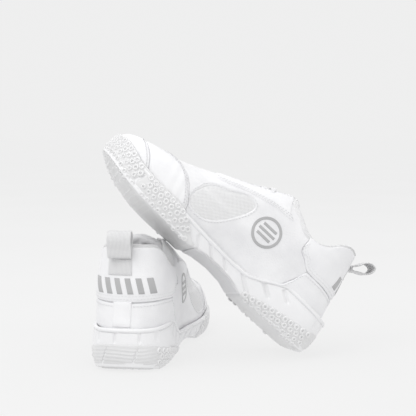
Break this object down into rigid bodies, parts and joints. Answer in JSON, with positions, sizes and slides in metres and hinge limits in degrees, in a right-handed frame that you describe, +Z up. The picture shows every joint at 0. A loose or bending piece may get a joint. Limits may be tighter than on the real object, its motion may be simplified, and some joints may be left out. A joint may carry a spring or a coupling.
{
  "type": "pair of cheer shoes",
  "caption": "Pair of low cheer shoes, one standing and one leaning on it: ring-lugged rubber soles, foam midsoles, leather uppers with mesh windows, padded collars and heel loops.",
  "frame": {"origin": "on the ground, under the middle of the right shoe's heel tread", "axes": "+Z up, +Y towards the right shoe's toe, +X towards its outer side"},
  "size_m": [0.2703, 0.2701, 0.2089],
  "materials": {
    "outsole_rubber": "matte moulded rubber",
    "arch_plastic": "smooth moulded",
    "midsole_foam": "matte moulded foam",
    "board": "fibre board",
    "footbed_fabric": "knit over foam",
    "white_leather": "smooth coated leather",
    "vamp_leather": "smooth coated leather",
    "quarter_leather": "smooth coated leather",
    "mesh_fabric": "open knit mesh",
    "counter_leather": "smooth coated leather",
    "heel_panel_leather": "soft coated leather",
    "eyestay_leather": "coated leather",
    "lining_fabric": "brushed knit lining",
    "tongue_fabric": "padded, soft leather face",
    "lace_fabric": "flat woven lace",
    "webbing": "woven tape",
    "badge_print": "raised print"
  },
  "bodies": {
    "left_shoe": {"left_arch_plate": "arch_plastic", "left_collar_padding": "lining_fabric", "left_heel_counter": "counter_leather", "left_heel_panel": "heel_panel_leather", "left_inner_eyestay": "eyestay_leather", "left_inner_mesh": "mesh_fabric", "left_inner_quarter": "quarter_leather", "left_laces": "lace_fabric", "left_lasting_board_rear": "board", "left_midsole_rear": "midsole_foam", "left_outer_eyestay": "eyestay_leather", "left_outer_mesh": "mesh_fabric", "left_outer_quarter": "quarter_leather", "left_outsole_ball": "outsole_rubber", "left_outsole_heel": "outsole_rubber", "left_pull_tab_foot": "webbing", "left_side_badge": "badge_print", "left_sockliner_rear": "footbed_fabric", "left_tongue": "tongue_fabric"},
    "left_forefoot": {"left_lasting_board_front": "board", "left_midsole_front": "midsole_foam", "left_outsole_toe": "outsole_rubber", "left_sockliner_front": "footbed_fabric", "left_toe_cap": "white_leather", "left_vamp": "vamp_leather", "left_vamp_crease": "vamp_leather"},
    "left_pull_tab": {"left_pull_tab": "webbing"},
    "right_shoe": {"right_arch_plate": "arch_plastic", "right_collar_padding": "lining_fabric", "right_heel_counter": "counter_leather", "right_heel_panel": "heel_panel_leather", "right_inner_eyestay": "eyestay_leather", "right_inner_mesh": "mesh_fabric", "right_inner_quarter": "quarter_leather", "right_laces": "lace_fabric", "right_lasting_board_rear": "board", "right_midsole_rear": "midsole_foam", "right_outer_eyestay": "eyestay_leather", "right_outer_mesh": "mesh_fabric", "right_outer_quarter": "quarter_leather", "right_outsole_ball": "outsole_rubber", "right_outsole_heel": "outsole_rubber", "right_pull_tab_foot": "webbing", "right_side_badge": "badge_print", "right_sockliner_rear": "footbed_fabric", "right_tongue": "tongue_fabric"},
    "right_forefoot": {"right_lasting_board_front": "board", "right_midsole_front": "midsole_foam", "right_outsole_toe": "outsole_rubber", "right_sockliner_front": "footbed_fabric", "right_toe_cap": "white_leather", "right_vamp": "vamp_leather", "right_vamp_crease": "vamp_leather"},
    "right_pull_tab": {"right_pull_tab": "webbing"}
  },
  "joints": [
    {"name": "left_shoe_lift", "type": "slide", "parent": "right_shoe", "child": "left_shoe", "axis": [0, 0, 1], "range_m": [0, 0.15]},
    {"name": "right_toe_flex", "type": "hinge", "parent": "right_shoe", "child": "right_forefoot", "pos_m": [0, 0.138, 0.022], "axis": [1, 0, 0], "range_deg": [0, 25], "stiffness_Nm_per_rad": 4, "deforming": ["right_vamp_crease"]},
    {"name": "left_toe_flex", "type": "hinge", "parent": "left_shoe", "child": "left_forefoot", "pos_m": [0.02774, 0.02783, 0.14336], "axis": [-0.313, 0.9366, -0.1577], "range_deg": [0, 25], "stiffness_Nm_per_rad": 4, "deforming": ["left_vamp_crease"]},
    {"name": "right_pull_tab_fold", "type": "hinge", "parent": "right_shoe", "child": "right_pull_tab", "pos_m": [0, -0.035, 0.1], "axis": [1, 0, 0], "range_deg": [0, 70]},
    {"name": "left_pull_tab_fold", "type": "hinge", "parent": "left_shoe", "child": "left_pull_tab", "pos_m": [0.2, 0.07454, 0.07887], "axis": [-0.313, 0.9366, -0.1577], "range_deg": [-46, 20]}
  ]
}
